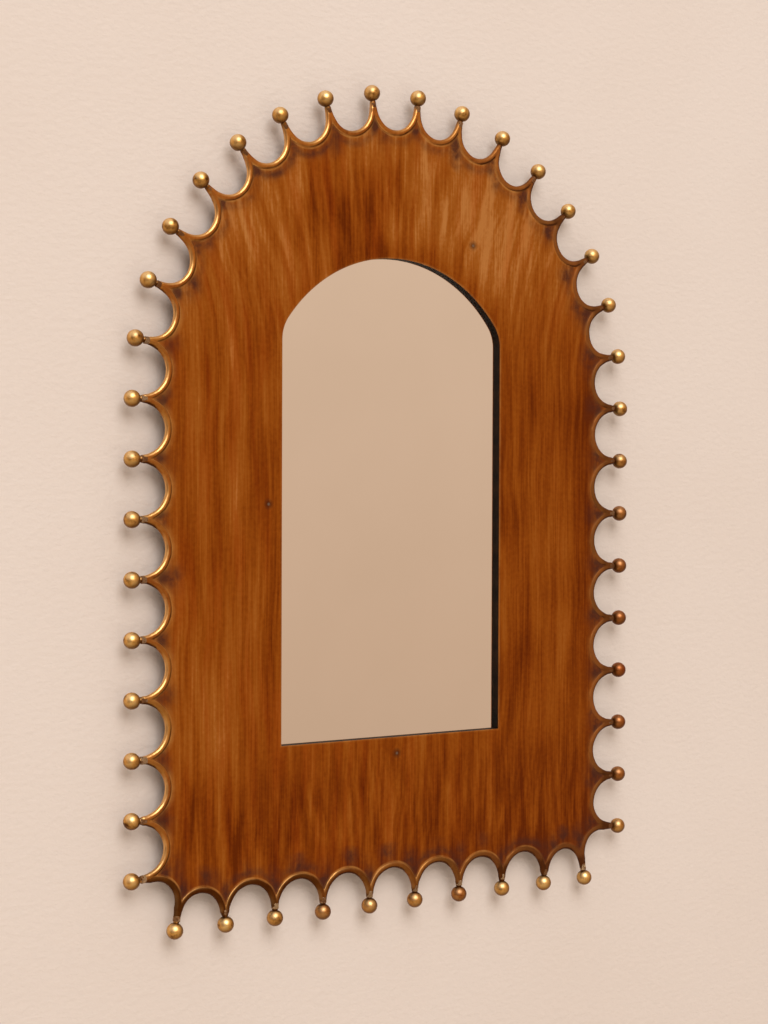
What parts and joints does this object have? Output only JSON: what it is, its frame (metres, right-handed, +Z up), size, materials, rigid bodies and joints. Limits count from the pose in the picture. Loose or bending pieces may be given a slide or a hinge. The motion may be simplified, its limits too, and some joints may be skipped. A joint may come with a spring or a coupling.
{
  "type": "wall mirror",
  "caption": "Arched wall mirror: flat scalloped metal frame in brushed amber lacquer, a gold ball on every cusp, recessed mirror glass, hung by rings on its back.",
  "frame": {"origin": "middle of the lower wall pad's back face, on the symmetry plane, at the wall", "axes": "+Z up along the frame's height, +Y into the wall, so the front faces -Y, +X to the right as seen from the front"},
  "size_m": [0.596, 0.0251, 0.807],
  "materials": {
    "face_lacquer": "hand-brushed amber brown lacquer on sheet iron, satin",
    "rim_brass": "aged brass with brown patina",
    "pin_brass": "aged brass, rough brazed surface",
    "ball_brass": "aged gold brass, semi-gloss with brown patina",
    "liner_black": "brown-black paint, satin",
    "mirror_silver": "silvered flat glass",
    "spacer_wood": "plain unpainted wood",
    "board_brown": "brown hardboard, smooth face out",
    "screw_zinc": "zinc plated",
    "hanger_zinc": "zinc plated",
    "pad_felt": "dark felt"
  },
  "bodies": {
    "frame": {"aperture_liner": "liner_black", "back_board": "board_brown", "ball_arch_01": "ball_brass", "ball_arch_02": "ball_brass", "ball_arch_03": "ball_brass", "ball_arch_04": "ball_brass", "ball_arch_05": "ball_brass", "ball_arch_06": "ball_brass", "ball_arch_07": "ball_brass", "ball_arch_08": "ball_brass", "ball_arch_09": "ball_brass", "ball_arch_10": "ball_brass", "ball_arch_11": "ball_brass", "ball_arch_12": "ball_brass", "ball_arch_13": "ball_brass", "ball_arch_14": "ball_brass", "ball_foot_01": "ball_brass", "ball_foot_02": "ball_brass", "ball_foot_03": "ball_brass", "ball_foot_04": "ball_brass", "ball_foot_05": "ball_brass", "ball_foot_06": "ball_brass", "ball_foot_07": "ball_brass", "ball_foot_08": "ball_brass", "ball_foot_09": "ball_brass", "ball_foot_10": "ball_brass", "ball_left_01": "ball_brass", "ball_left_02": "ball_brass", "ball_left_03": "ball_brass", "ball_left_04": "ball_brass", "ball_left_05": "ball_brass", "ball_left_06": "ball_brass", "ball_left_07": "ball_brass", "ball_left_08": "ball_brass", "ball_left_09": "ball_brass", "ball_left_10": "ball_brass", "ball_pins": "pin_brass", "ball_right_01": "ball_brass", "ball_right_02": "ball_brass", "ball_right_03": "ball_brass", "ball_right_04": "ball_brass", "ball_right_05": "ball_brass", "ball_right_06": "ball_brass", "ball_right_07": "ball_brass", "ball_right_08": "ball_brass", "ball_right_09": "ball_brass", "ball_right_10": "ball_brass", "board_screws": "screw_zinc", "face_sheet": "face_lacquer", "hanger_screws": "screw_zinc", "hanger_strap_left": "hanger_zinc", "hanger_strap_right": "hanger_zinc", "mirror_glass": "mirror_silver", "rim_rods": "rim_brass", "spacer_frame": "spacer_wood", "wall_pad_lower": "pad_felt", "wall_pad_upper": "pad_felt"},
    "ring_left": {"hanger_ring_left": "hanger_zinc"},
    "ring_right": {"hanger_ring_right": "hanger_zinc"}
  },
  "joints": [
    {"name": "ring_left_swing", "type": "hinge", "parent": "frame", "child": "ring_left", "pos_m": [-0.164, -0.0025, 0.38], "axis": [1, 0, 0], "range_deg": [0, 180]},
    {"name": "ring_right_swing", "type": "hinge", "parent": "frame", "child": "ring_right", "pos_m": [0.164, -0.0025, 0.38], "axis": [1, 0, 0], "range_deg": [0, 180]}
  ]
}
